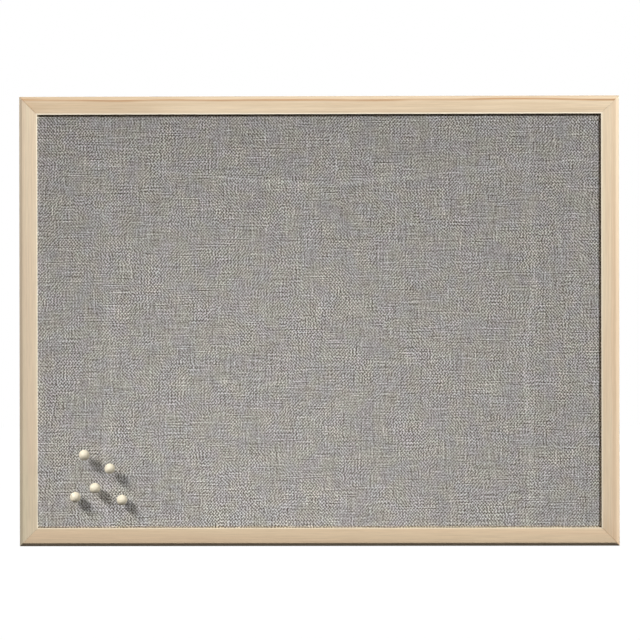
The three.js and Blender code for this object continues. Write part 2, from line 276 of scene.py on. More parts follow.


# Linen look: a plain weave of uneven threads with slubs, soft patches, faint fold lines painted lighter
# as a highlight, and a painted shade along the margin beside the frame's lips
threadSettings = {  # the wander is in thread pitches
    "warp": {
        "pitch": 1.534 * mm, "sway": 3.0 * mm, "wander": 1.18, "wanderSeed": 7.7, "toneSeed": 1.7,
        "share": 1.65, "lineScales": (620, 110, 55), "lineStep": (1.0 * mm, 0, 0), "lines": 0.47,
    },
    "weft": {
        "pitch": 1.70 * mm, "sway": 4.2 * mm, "wander": 1.72, "wanderSeed": 3.1, "toneSeed": 9.1,
        "share": 0.9, "lineScales": (38, 110, 900), "lineStep": (0, 0, 1.05 * mm), "lines": 0.62,
    },
}
weaveSettings = {
    "swayScale": 30.0,
    "patchScale": 34.0,
    "patchShare": (0.45, 1.0),
    "wanderSpacing": 13.73,  # from thread to thread, in the noise
    "wanderScale": 0.16,  # per thread pitch
    "toneSpacing": 17.31,
    "evenScale": 0.05,
    "evenness": 0.12,
    "slubScale": 0.07,
    "slubSeed": 5.3,
    "thick": 0.17,
    "thickSpan": (0.68, 0.80),
    "thin": 0.13,
    "thinSpan": (0.32, 0.20),
    "fuzzScale": 420.0,
    "fuzz": 0.2,
    "fibreScale": 1150.0,
    "fibre": 0.8,
    "crossing": 0.2,  # each crossing of two threads has its own tone
    "lineGain": 3.2,  # strong lines stand out, weak ones fade
    "lineFloor": 0.45,
    "contrast": 0.335,
    "middle": 0.8,
    "brightest": 1.55,
    "curve": 1.6,
    "tintScale": 55.0,
    "tints": (
        ((1.02, 1.015, 0.965, 1), (0.985, 0.98, 1.015, 1)),  # warm to cool
        ((1.012, 0.994, 1.0, 1), (0.99, 1.005, 1.0, 1)),  # rosy to green
    ),
    "margin": (0.4 * mm, 2.8 * mm),  # painted shade beside the frame's lips fades out over this span
    "paintedMarginShades": ((0.8, 0.66, 0.5, 1), (0.87, 0.77, 0.61, 1)),  # painted shade: deep beside the top and right lips where their shadows fall, lighter and browner above the bottom lip
    "slubHeight": 0.4,
    "roughness": (0.86, 0.98),
}
foldSettings = {  # painted highlight along lines left by folding: one that sags across the cloth, and two upright ones
    "dip": -85.5 * mm,
    "slope": 0.1,
    "turn": 30 * mm,
    "sagWidth": 1.5 * mm,
    "sagHighlight": 0.13,
    "uprights": ((-211 * mm, -8.44), (209 * mm, 8.36)),  # place, noise seed
    "wobble": 26 * mm,
    "wobbleScale": 9.0,
    "uprightWidth": 3.2 * mm,
    "uprightHighlight": 0.075,
    "showScale": 24.0,
    "showSpans": ((0.36, 0.6), (0.7, 1.0)),
}


def makeLinenWeave():
    s, f = weaveSettings, foldSettings
    warp, weft = threadSettings.values()
    takes = {
        "Pale": (0.768, 0.76, 0.733, 1),
        "Deep": (0.045, 0.03, 0.018, 1),
        "Middle": None,
        "Opening": None,
    }
    entry = newPattern("linenWeave", takes)
    place = entry["Place"]
    axes = splitXYZ(place)

    def threeNoises(scale, detail=1.0):
        return splitXYZ(mottle(place, scale, detail, output=1))

    sway = threeNoises(s["swayScale"], 2.0)
    swayX, swayZ = swing(sway[0], warp["sway"]), swing(sway[1], weft["sway"])
    u = calc("DIVIDE", add(axes["X"], swayX), warp["pitch"])
    v = calc("DIVIDE", add(axes["Z"], swayZ), weft["pitch"])

    def threadNoise(across, along, seed, spacing, scale):  # runs along each thread on its own
        thread = times(calc("FLOOR", across), spacing)
        return mottle(joinXYZ(thread, times(along, scale), seed), 1.0, 0.0)

    def wander(across, along, kind):  # each thread sits a little off its place
        offset = threadNoise(across, along, kind["wanderSeed"], s["wanderSpacing"], s["wanderScale"])
        return add(along, swing(offset, kind["wander"]))

    def diagonal(phase, patch):  # strong in its own patches
        wave = calc("COSINE", times(phase, pi))
        return times(wave, remap(patch, closeSpan, s["patchShare"]))

    crossU, crossV = wander(v, u, weft), wander(u, v, warp)
    patches = threeNoises(s["patchScale"])
    falling = diagonal(add(crossU, crossV), patches[0])
    rising = diagonal(less(crossU, crossV), patches[1])
    weave = less(rising, falling)

    def threadTones(across, along, kind):
        evenness = threadNoise(across, along, kind["toneSeed"], s["toneSpacing"], s["evenScale"])
        slubSeed = kind["toneSeed"] + s["slubSeed"]
        slub = threadNoise(across, along, slubSeed, s["toneSpacing"], s["slubScale"])
        tone = swing(evenness, s["evenness"])
        tone = add(tone, times(remap(slub, s["thickSpan"]), s["thick"]))
        tone = less(tone, times(remap(slub, s["thinSpan"]), s["thin"]))
        ridge = calc("SINE", times(across, pi))
        return times(tone, times(ridge, ridge, kind["share"]))

    def thinLines(kind):  # a noise less itself one step on, which leaves only thin lines
        here = grain(place, kind["lineScales"])
        there = grain(vectorCalc("ADD", place, kind["lineStep"]), kind["lineScales"])
        line = less(here, there)
        gain = calc("MULTIPLY_ADD", calc("ABSOLUTE", line), s["lineGain"], s["lineFloor"])
        return times(line, gain, kind["lines"])

    warpTones, weftTones = threadTones(u, v, warp), threadTones(v, u, weft)
    fuzz = mottle(place, s["fuzzScale"], 2.0, coarse)
    fibre = mottle(place, s["fibreScale"])
    cell = joinXYZ(calc("FLOOR", u), calc("FLOOR", v), 0.0)
    crossing = nextNode("TexWhiteNoise", {"Vector": cell}, noise_dimensions="3D").outputs["Value"]

    # the fold lines are painted lighter in the colour, a painted highlight where the creases would catch
    # the light; the height gets no relief from them
    reach = add(times(axes["X"], axes["X"]), f["turn"] ** 2)
    sag = add(times(calc("SQRT", reach), f["slope"]), f["dip"])
    sag = less(add(axes["Z"], swayZ), sag)
    foldHighlights = times(hump(sag, f["sagWidth"]), f["sagHighlight"])
    for upright, seed in f["uprights"]:
        wobble = mottle(joinXYZ(seed, 0.0, axes["Z"]), f["wobbleScale"])
        offset = less(add(axes["X"], swing(wobble, f["wobble"])), upright)
        foldHighlights = add(foldHighlights, times(hump(offset, f["uprightWidth"]), f["uprightHighlight"]))
    foldHighlights = times(foldHighlights, remap(mottle(place, f["showScale"]), *f["showSpans"]))

    tone = times(weave, s["contrast"])
    for part, strength in ((fuzz, "fuzz"), (fibre, "fibre"), (crossing, "crossing")):
        tone = add(tone, swing(part, s[strength]))
    tone = add(tone, thinLines(warp), thinLines(weft), warpTones, weftTones, foldHighlights, s["middle"])
    tone = calc("DIVIDE", calc("MAXIMUM", tone, 0.0), s["brightest"])
    tone = calc("MINIMUM", calc("POWER", tone, s["curve"]), 1.0)
    colour = mixTones(tone, entry["Deep"], entry["Pale"])

    tints = [
        mixTones(remap(share, closeSpan), first, second)
        for share, (first, second) in zip(threeNoises(s["tintScale"]), s["tints"])
    ]
    away = vectorCalc("SUBTRACT", place, entry["Middle"])
    upper = splitXYZ(vectorCalc("SUBTRACT", entry["Opening"], away))
    lower = splitXYZ(vectorCalc("ADD", entry["Opening"], away))
    # painted shade: the cloth darkens towards the top and right edges, where the lips cast their shadows,
    # and browns above the bottom lip
    margins = (calc("MINIMUM", upper["X"], upper["Z"]), lower["Z"])
    for margin, toneMultiplier in zip(margins, s["paintedMarginShades"]):
        share = remap(margin, s["margin"], (1.0, 0.0))
        tints.append(mixTones(share, (1, 1, 1, 1), toneMultiplier))
    for toneMultiplier in tints:
        colour = mixTones(1.0, colour, toneMultiplier, "MULTIPLY")

    # bump of each crossing, the threads' rounding and their slubs
    rounds = [calc("ABSOLUTE", calc("SINE", times(way, pi))) for way in (u, v)]
    height = add(times(*rounds), times(add(warpTones, weftTones), s["slubHeight"]))
    return endPattern(colour, remap(fuzz, wideSpan, s["roughness"]), height)


# Sheet and wire steel: drawn scratches, smudges, a slightly uneven shine
steelSettings = {
    "smudgeScale": 240.0,
    "scratches": (900, 900, 9000),
    "scratchShade": (0.92, 1.05),
}


def makeDrawnSteel():
    s = steelSettings
    takes = {
        "Bright": (0.56, 0.57, 0.585, 1),
        "Dull": (0.36, 0.367, 0.38, 1),
        "Polish": 0.3,
        "Matt": 0.48,
    }
    entry = newPattern("drawnSteel", takes)
    smudge = remap(mottle(entry["Place"], s["smudgeScale"], 3.0, coarse), midSpan)
    scratch = grain(entry["Place"], s["scratches"], 2.0)
    tone = mixTones(smudge, entry["Bright"], entry["Dull"])
    tone = shadeTone(tone, remap(scratch, midSpan, s["scratchShade"]))
    gap = less(entry["Matt"], entry["Polish"])
    return endPattern(tone, add(entry["Polish"], times(gap, smudge)), scratch)


# Pressed wood fibre: matted fibres with pale and dark flecks
fibreSettings = {
    "cloudScale": 35.0,
    "cloudShade": (0.86, 1.12),
    "bendScale": 260.0,
    "bend": (6 * mm, 6 * mm, 6 * mm),
    "fibresX": (160, 900, 1700),
    "fibresZ": (1700, 900, 160),
    "spanZ": (0.58, 0.74),
    "darkScale": 620.0,
    "darkSpan": (0.58, 0.72),
    "darkDepth": -0.6,
    "fleckStrength": 0.55,
    "roughness": (0.62, 0.82),
}


def makePressedFibre():
    s = fibreSettings
    takes = {
        "Tone": (0.26, 0.15, 0.075, 1),
        "Pale Fleck": (0.42, 0.28, 0.16, 1),
        "Dark Fleck": (0.10, 0.055, 0.028, 1),
    }
    entry = newPattern("pressedFibre", takes)
    place = entry["Place"]
    cloudy = mottle(place, s["cloudScale"], 3.0, coarse)
    bent = mottle(place, s["bendScale"], 2.0, output=1)
    bent = vectorCalc("MULTIPLY_ADD", bent, s["bend"], place)
    paleX = remap(grain(bent, s["fibresX"], 2.0), fleckSpan)
    paleZ = remap(grain(bent, s["fibresZ"], 2.0), s["spanZ"])
    pale = calc("MAXIMUM", paleX, paleZ)
    dark = remap(mottle(place, s["darkScale"], 2.0, coarse), s["darkSpan"])
    tone = entry["Tone"]
    for flecks, fleckTone in ((pale, "Pale Fleck"), (dark, "Dark Fleck")):
        tone = mixTones(times(flecks, s["fleckStrength"]), tone, entry[fleckTone])
    tone = shadeTone(tone, remap(cloudy, midSpan, s["cloudShade"]))
    height = add(pale, times(dark, s["darkDepth"]))
    return endPattern(tone, remap(cloudy, wideSpan, s["roughness"]), height)


# Turned pale wood: close grain lines across the ball and tiny pores
turnedSettings = {
    "swayScale": 150.0,
    "sway": 3.0 * mm,
    "tilt": 0.6,
    "ringPitch": 1.3 * mm,
    "ringEdge": 2.5,
    "ringShare": 0.45,
    "pores": (900, 2600, 2600),
    "poreShare": 0.3,
    "roughness": (0.42, 0.6),
}


def makeTurnedWood():
    s = turnedSettings
    takes = {"Pale": (0.7, 0.637, 0.497, 1), "Grain": (0.62, 0.533, 0.392, 1)}
    entry = newPattern("turnedWood", takes)
    place = entry["Place"]
    axes = splitXYZ(place)
    sway = times(mottle(place, s["swayScale"]), s["sway"])
    across = add(axes["Z"], times(axes["X"], s["tilt"]), sway)
    rings = ringLines(across, s["ringPitch"], s["ringEdge"])
    pores = remap(grain(place, s["pores"], 2.0), fleckSpan)
    share = add(times(rings, s["ringShare"]), times(pores, s["poreShare"]))
    tone = mixTones(share, entry["Pale"], entry["Grain"])
    return endPattern(tone, remap(pores, (0.0, 1.0), s["roughness"]), times(share, -1.0))


pineGrain = makePineGrain()
linenWeave = makeLinenWeave()
drawnSteel = makeDrawnSteel()
pressedFibre = makePressedFibre()
turnedWood = makeTurnedWood()


# Finishes: a pattern with its values, the shader's own values, and the bump's strength and depth
def newFinish(name, pattern, values, shader, bump, turn=(0, 0, 0), shift=(0, 0, 0)):
    finish = bpy.data.materials.new(name)
    finish.use_nodes = True
    tree = finish.node_tree
    surface = tree.nodes["Principled BSDF"].inputs
    for socket, value in shader.items():
        surface[socket].default_value = value
    place = addNode(tree, "TexCoord").outputs["Object"]
    place = addNode(tree, "Mapping", {"Vector": place, "Location": shift, "Rotation": turn}).outputs[0]
    given = addNode(tree, "Group", {"Place": place, **values}, node_tree=pattern).outputs
    strength, depth = bump
    raised = addNode(tree, "Bump", {"Strength": strength, "Distance": depth, "Height": given["Height"]})
    tree.links.new(given["Color"], surface["Base Color"])
    tree.links.new(given["Roughness"], surface["Roughness"])
    tree.links.new(raised.outputs[0], surface["Normal"])
    return finish


pineBoards = {  # tones of each board, and where its grain starts
    "top": {
        "Start": 0.0,
        "Pale": (0.67, 0.537, 0.375, 1),
        "Blush": (0.565, 0.429, 0.282, 1),
        # painted highlight: a brighter, wider rubbed band on the top board's sight edge, which faces away
        # from the lamps
        "Rubbed Highlight": (0.96, 0.88, 0.72, 1),
        "Rub Highlight Reach": 2.1 * mm,
        "Drift": -0.48,
        "Band Tone": (0.5, 0.37, 0.24, 1),
        "Band Place": 18.2 * mm,
        "Band Strength": 0.4,
        "Line Place": 14.3 * mm,
        "Line Strength": 0.95,
        "Stained End": -1.0,
        "Mitre Stain": 0.32,
        "End Shade": 0.09,
    },
    "bottom": {
        "Start": 2.3,
        "Pale": (0.71, 0.557, 0.378, 1),
        "Blush": (0.7, 0.53, 0.357, 1),
        # a duller rubbed band on the bottom board, whose sight edge the lamps light
        "Rubbed Highlight": (0.82, 0.73, 0.56, 1),
    },
    "left": {
        "Start": 5.1,
        "Pale": (0.7, 0.6, 0.428, 1),
        "Blush": (0.69, 0.555, 0.4, 1),
        "Drift": 0.3,
    },
    "right": {
        "Start": 8.7,
        "Pale": (0.685, 0.574, 0.411, 1),
        "Blush": (0.644, 0.497, 0.342, 1),
        # painted highlight: a wider rubbed band on the right board's sight edge, which faces away from
        # the lamps
        "Rub Highlight Reach": 2.1 * mm,
        "Drift": 0.4,
        "Band Place": 12.6 * mm,
        "Band Strength": 0.5,
        "Mitre Stain": 0.3,
        "End Shade": 0.17,
    },
}
softTones = {
    "Tone": (0.38, 0.25, 0.13, 1),
    "Pale Fleck": (0.55, 0.40, 0.24, 1),
    "Dark Fleck": (0.2, 0.12, 0.06, 1),
}
springTones = {
    "Bright": (0.46, 0.46, 0.47, 1),
    "Dull": (0.28, 0.275, 0.28, 1),
    "Polish": 0.32,
    "Matt": 0.52,
}
needleTones = {"Polish": 0.16, "Matt": 0.28}
woodShader = {"Specular IOR Level": 0.3}
hardShader = {"Specular IOR Level": 0.35}
clothShader = {"Specular IOR Level": 0.15, "Sheen Weight": 0.12, "Sheen Roughness": 0.4}
steelShader = {"Metallic": 1.0}
softboard = newFinish("softboard", pressedFibre, softTones, {}, (0.5, 0.3 * mm))
hardboard = newFinish("hardboard", pressedFibre, {}, hardShader, (0.3, 0.08 * mm))
springSteel = newFinish("springSteel", drawnSteel, springTones, steelShader, (0.1, 0.02 * mm))
zincSteel = newFinish("zincSteel", drawnSteel, {}, steelShader, (0.1, 0.02 * mm))
needleSteel = newFinish("needleSteel", drawnSteel, needleTones, steelShader, (0.05, 0.01 * mm))
ballWood = newFinish("ballWood", turnedWood, {}, woodShader, (0.15, 0.05 * mm))
print("plain finishes made:", len(bpy.data.materials))

# Mesh helpers
cutOver = 1 * mm  # cutters stand out of the solid by this much
sharpTurn = 1.2  # radians between the faces of an edge that is eased
weld = 1e-7  # metres within which two points are one
slack = 1e-6  # metres that a point may be off its place
pieces = {}


def camelName(node):
    first, *rest = node.split("_")
    return first + "".join(word.capitalize() for word in rest)


def newObject(bm, name):
    mesh = bpy.data.meshes.new(name)
    bm.to_mesh(mesh)
    bm.free()
    made = bpy.data.objects.new(name, mesh)
    scene.collection.objects.link(made)
    return made


def faceOut(bm):
    bmesh.ops.recalc_face_normals(bm, faces=bm.faces)


def addPiece(bm, node, finish, stand=Matrix(), body="board", sharpAngle=35):
    bm.transform(stand)
    bmesh.ops.remove_doubles(bm, verts=bm.verts, dist=weld)
    faceOut(bm)
    piece = newObject(bm, camelName(node))
    piece.data.shade_smooth()
    piece.data.set_sharp_from_angle(angle=radians(sharpAngle))
    piece.data.materials.append(finish)
    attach(piece, body)
    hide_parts(node)
    pieces[node] = piece
    return piece


def ofKind(parts, kind):
    return [part for part in parts if isinstance(part, kind)]


def runOn(bm, faces, move):
    run = bmesh.ops.extrude_face_region(bm, geom=faces)["geom"]
    bmesh.ops.translate(bm, verts=ofKind(run, BMVert), vec=move)
    return ofKind(run, BMFace)


def newPrism(outline, move):
    bm = bmesh.new()
    section = bm.faces.new([bm.verts.new(corner) for corner in outline])
    runOn(bm, [section], move)
    return bm


def ease(bm, edges, width, segments):
    bmesh.ops.bevel(
        bm, geom=edges, offset=width, offset_type="OFFSET", segments=segments,
        profile=0.5, affect="EDGES", material=-1, clamp_overlap=True,
    )


def easeSharp(bm, width, segments):
    ease(bm, [edge for edge in bm.edges if edge.calc_face_angle(0) > sharpTurn], width, segments)


def roundEnd(bm, height, width, segments):  # the two corners of a strip's end
    corners = []
    for edge in bm.edges:
        a, b = (vert.co for vert in edge.verts)
        if abs(a.x - b.x) < weld and max(abs(a.z - height), abs(b.z - height)) < slack:
            corners.append(edge)
    ease(bm, corners, width, segments)


def addBlock(bm, sizes, centre):
    size = Matrix.Diagonal((*sizes, 1))
    bmesh.ops.create_cube(bm, size=1, matrix=Matrix.Translation(centre) @ size)


def addBore(bm, radius, length, centre, sides):
    along = Matrix.Translation(centre) @ Matrix.Rotation(quarter, 4, "X")
    bmesh.ops.create_cone(
        bm, cap_ends=True, segments=sides, radius1=radius, radius2=radius, depth=length, matrix=along
    )


def carve(bm, tools):
    faceOut(bm)
    faceOut(tools)
    blank, cutter = newObject(bm, "blank"), newObject(tools, "cutter")
    cut = blank.modifiers.new("cut", "BOOLEAN")
    cut.object = cutter
    cut.operation = "DIFFERENCE"
    cut.solver = "EXACT"
    cut.use_self = True
    bpy.context.view_layer.update()
    carved = bmesh.new()
    carved.from_object(blank, bpy.context.evaluated_depsgraph_get())
    for spare in (blank, cutter):
        mesh = spare.data
        bpy.data.objects.remove(spare)
        bpy.data.meshes.remove(mesh)
    return carved


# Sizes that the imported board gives
topLow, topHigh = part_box("top_rail")
bottomLow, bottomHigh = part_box("bottom_rail")
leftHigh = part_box("left_stile")[1]
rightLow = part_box("right_stile")[0]
clothLow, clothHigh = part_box("fabric_cover")
frontY, backY = topLow.y, topHigh.y
railWidth = topHigh.z - topLow.z
openingWidth = rightLow.x - leftHigh.x
openingHeight = topLow.z - bottomHigh.z
boardMid = Vector((0, 0, (topLow.z + bottomHigh.z) / 2))
jointOf = {joint["child"]: joint for joint in frame["joints"]}


# Frame members, drawn with X along the member and Z out of the opening
memberSettings = {
    "chamfer": 3.5 * mm,
    "panelGap": 0.3 * mm,  # lip to cloth
    "lipWidth": 8 * mm,
    "mitreGap": 0.08 * mm,  # each member, along its length
    "sightEase": (0.4 * mm, 4),  # width, segments
    "faceEase": (0.45 * mm, 3),
    "backEase": (0.5 * mm, 2),
    "sides": {
        "top": {"node": "top_rail", "turn": 0, "points": 3},
        "right": {"node": "right_stile", "turn": quarter, "points": 2},
        "bottom": {"node": "bottom_rail", "turn": pi, "points": 3},
        "left": {"node": "left_stile", "turn": -quarter, "points": 2},
    },
    "bump": (0.2, 0.1 * mm),
}
vNailSettings = {
    "seats": {"outer": 15.5 * mm, "inner": 11 * mm},
    "wing": 5 * mm,
    "thickness": 0.8 * mm,
    "height": 8 * mm,
    "sink": 0.5 * mm,
    "play": 0.1 * mm,
    "ease": (0.07 * mm, 1),
    "corners": {  # right, up, quarter turns
        "top_right": (1, 1, 0),
        "bottom_right": (1, -1, 1),
        "bottom_left": (-1, -1, 2),
        "top_left": (-1, 1, 3),
    },
}
pointSettings = {
    "width": 6 * mm,
    "thickness": 0.5 * mm,
    "reach": 9 * mm,
    "driven": 5 * mm,
    "taper": 2.5 * mm,
    "corner": (1.2 * mm, 5),
    "ease": (0.08 * mm, 1),
    "play": 0.1 * mm,
    "front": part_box("point_top_1")[0].y,
}
hangerSettings = {
    "inset": 12.2 * mm,
    "width": 7 * mm,
    "thickness": 0.8 * mm,
    "length": 27 * mm,
    "barrel": 1.85 * mm,  # outside radius
    "roll": 322,  # degrees
    "rollSteps": 22,
    "endRound": (3.3 * mm, 8),
    "ease": (0.1 * mm, 2),
    "screwDrops": {"upper": 14 * mm, "lower": 21.5 * mm},
    "pilot": 1.3 * mm,
    "pilotDepth": 8.6 * mm,
    "pilotSides": 20,
    "holeDepth": 4 * mm,
    "holeSides": 24,
}


def longEdges(bm, spots):
    found = []
    for edge in bm.edges:
        a, b = (vert.co for vert in edge.verts)
        if abs(a.y - b.y) + abs(a.z - b.z) < weld and any(
            abs(a.z - out) + abs(a.y - deep) < slack for out, deep in spots
        ):
            found.append(edge)
    return found


def shapeMember(opening, points, bores):
    s, v, p, h = memberSettings, vNailSettings, pointSettings, hangerSettings
    lip = s["lipWidth"]
    lipBack = clothLow.y - s["panelGap"]
    sightEdge = (0, frontY)
    faceEdges = [(railWidth - s["chamfer"], frontY), (railWidth, frontY + s["chamfer"])]
    backEdges = [(railWidth, backY), (lip, backY), (0, lipBack)]
    outline = [sightEdge, *faceEdges, *backEdges[:2], (lip, lipBack), backEdges[2]]
    half = opening / 2 + railWidth + cutOver
    bm = newPrism([(-half, deep, out) for out, deep in outline], (2 * half, 0, 0))
    ease(bm, longEdges(bm, [sightEdge]), *s["sightEase"])
    ease(bm, longEdges(bm, faceEdges), *s["faceEase"])
    ease(bm, longEdges(bm, backEdges), *s["backEase"])
    for end in (-1, 1):  # mitres
        whole = list(bm.verts) + list(bm.edges) + list(bm.faces)
        mitre = (end * (opening / 2 - s["mitreGap"]), 0, 0)
        bmesh.ops.bisect_plane(
            bm, geom=whole, dist=1e-8, plane_co=mitre, plane_no=(end, 0, -1), clear_outer=True
        )
        bmesh.ops.holes_fill(bm, edges=[edge for edge in bm.edges if edge.is_boundary], sides=0)

    tools = bmesh.new()
    depth = v["sink"] + v["height"] + cutOver
    nailSlot = (v["wing"] + 2 * v["play"], depth, v["thickness"] + 2 * v["play"])
    for end in (-1, 1):
        for seat in v["seats"].values():
            along = end * (opening / 2 + seat - v["wing"] / 2)
            addBlock(tools, nailSlot, (along, cutOver - depth / 2, seat - v["thickness"] / 2))
    length = p["driven"] + cutOver
    pointSlot = (p["width"] + 2 * p["play"], p["thickness"] + 2 * p["play"], length)
    for along in points:
        addBlock(tools, pointSlot, (along, p["front"] + p["thickness"] / 2, lip - cutOver + length / 2))
    depth = h["pilotDepth"] + cutOver
    for along in bores:
        addBore(tools, h["pilot"], depth, (along, cutOver - depth / 2, h["inset"]), h["pilotSides"])
    return carve(bm, tools)


def shapePoint():
    p = pointSettings
    lip = memberSettings["lipWidth"]
    half, free, tip = p["width"] / 2, lip - p["reach"], lip + p["driven"]
    shoulder = tip - p["taper"]
    outline = [(-half, free), (half, free), (half, shoulder), (0, tip), (-half, shoulder)]
    bm = newPrism([(x, p["front"], z) for x, z in outline], (0, p["thickness"], 0))
    roundEnd(bm, free, *p["corner"])
    easeSharp(bm, *p["ease"])
    return bm


for side, settings in memberSettings["sides"].items():
    isRail = side in ("top", "bottom")
    opening, across = (openingWidth, openingHeight) if isRail else (openingHeight, openingWidth)
    count = settings["points"]
    places = [((i + 0.5) / count - 0.5) * opening for i in range(count)]
    bores = []
    if not isRail:
        outward = 1 if side == "right" else -1
        axisHeight = jointOf["ring_" + side]["pos_m"][2] - boardMid.z
        bores = [-outward * (axisHeight - drop) for drop in hangerSettings["screwDrops"].values()]
    stand = Matrix.Translation(boardMid) @ Matrix.Rotation(settings["turn"], 4, "Y")
    stand = stand @ Matrix.Translation((0, 0, across / 2))
    toMember = stand.inverted()
    pine = newFinish(
        "pine" + side.capitalize(), pineGrain, {**pineBoards[side], "Mitre Place": opening / 2},
        woodShader, memberSettings["bump"], turn=toMember.to_euler(), shift=toMember.to_translation(),
    )
    addPiece(shapeMember(opening, places, bores), settings["node"], pine, stand)
    for i, along in enumerate(places):
        seat = stand @ Matrix.Translation((along, 0, 0))
        addPiece(shapePoint(), f"point_{side}_{i + 1}", springSteel, seat)
print("frame members and points made")


# V-nails, driven from behind across each mitre
def shapeVNail():
    v = vNailSettings
    wing, thin = v["wing"], v["thickness"]
    outline = [(0, 0), (-wing, 0), (-wing, -thin), (-thin, -thin), (-thin, -wing), (0, -wing)]
    bm = newPrism([(x, -v["sink"], z) for x, z in outline], (0, -v["height"], 0))
    easeSharp(bm, *v["ease"])
    return bm


for corner, (right, up, turns) in vNailSettings["corners"].items():
    for place, seat in vNailSettings["seats"].items():
        spot = boardMid + Vector((right * (openingWidth / 2 + seat), 0, up * (openingHeight / 2 + seat)))
        stand = Matrix.Translation(spot) @ Matrix.Rotation(turns * quarter, 4, "Y")
        addPiece(shapeVNail(), f"v_nail_{corner}_{place}", springSteel, stand)
print("V-nails made")


# Ball pins: turned head and steel needle, drawn with the axis along Z and the needle downwards
pinSettings = {
    "count": 5,
    "radius": 5.25 * mm,
    "ballSteps": 30,
    "ballSides": 64,
    "flat": 1.6 * mm,  # radius of the flat round the needle
    "bore": 0.6 * mm,
    "socket": 6 * mm,
    "socketGap": 0.1 * mm,
    "needleRadius": 0.55 * mm,
    "needleLength": 10 * mm,  # flat to tip
    "needleEase": 0.06 * mm,
    "needleSides": 24,
    "tip": 3 * mm,
    "tipPoints": ((0.72, 0.6), (0.36, 0.25)),  # shares of the radius and of the tip's length
    "tipEnd": 0.03 * mm,
}
pinFoot = -sqrt(pinSettings["radius"] ** 2 - pinSettings["flat"] ** 2)  # height of the flat


def turnProfile(profile, steps):
    bm = bmesh.new()
    verts = [bm.verts.new((radius, 0, height)) for radius, height in profile]
    edges = [bm.edges.new(pair) for pair in zip(verts, verts[1:])]
    bmesh.ops.spin(bm, geom=verts + edges, axis=(0, 0, 1), angle=2 * pi, steps=steps, use_merge=True)
    bmesh.ops.remove_doubles(bm, verts=bm.verts, dist=slack)
    return bm


def domePoints(radius, start, steps, height=0.0):  # an arc from the start angle up to the pole
    angles = [start + (quarter - start) * i / steps for i in range(steps)]
    dome = [(radius * cos(angle), height + radius * sin(angle)) for angle in angles]
    return dome + [(0, height + radius)]


def shapePinHead():
    p = pinSettings
    socketTop = pinFoot + p["socket"]
    socket = [(0, socketTop), (p["bore"], socketTop), (p["bore"], pinFoot)]
    ball = domePoints(p["radius"], atan2(pinFoot, p["flat"]), p["ballSteps"])
    return turnProfile(socket + ball, p["ballSides"])


def shapeNeedle():
    p = pinSettings
    r, easing, end = p["needleRadius"], p["needleEase"], p["tipEnd"]
    top, tip = pinFoot + p["socket"] - p["socketGap"], pinFoot - p["needleLength"]
    profile = [(0, top), (r - easing, top), (r, top - easing), (r, tip + p["tip"])]
    profile += [(r * wide, tip + p["tip"] * high) for wide, high in p["tipPoints"]]
    return turnProfile(profile + [(end, tip + end), (0, tip)], p["needleSides"])


pinEntries = []
for number in range(1, pinSettings["count"] + 1):
    body = f"pin_{number}"
    axis = Vector(jointOf[body]["axis"]).normalized()
    headCorners = [vert.co for vert in frame["nodes"][f"pin_head_{number}"].data.vertices]
    pole = max(headCorners, key=axis.dot)
    centre = pole - axis * pinSettings["radius"]
    lean = Vector((0, 0, 1)).rotation_difference(axis).to_matrix().to_4x4()
    stand = Matrix.Translation(centre) @ lean
    addPiece(shapePinHead(), f"pin_head_{number}", ballWood, stand, body)
    addPiece(shapeNeedle(), f"pin_needle_{number}", needleSteel, stand, body)
    pinEntries.append(centre + axis * ((clothLow.y - centre.y) / axis.y))
print("pins made:", len(pinEntries))


# Panel: cloth stretched over the softboard and turned over its back, and the hardboard behind it
clothSettings = {
    "cut": (0.640, 0.490),
    "thickness": 0.8 * mm,
    "cell": 4 * mm,
    "bend": 1.6 * mm,  # outside bend round the core's edge
    "bendSteps": 4,
    "hem": 20.8 * mm,
    "hemRows": (0.4, 0.7, 1.0),  # shares of the hem
    "fineReach": 9 * mm,  # finer mesh round each pin
    "fineCuts": 3,
    "waves": ((14, 14, 0.7, 1.0), (41, 33, 5.2, 0.5)),  # noise scales in X and Z, seed, share
    "uneven": 0.09 * mm,
    "dimple": 0.16 * mm,
    "dimpleWidth": 2.4 * mm,
    "bump": (0.5, 0.2 * mm),
}


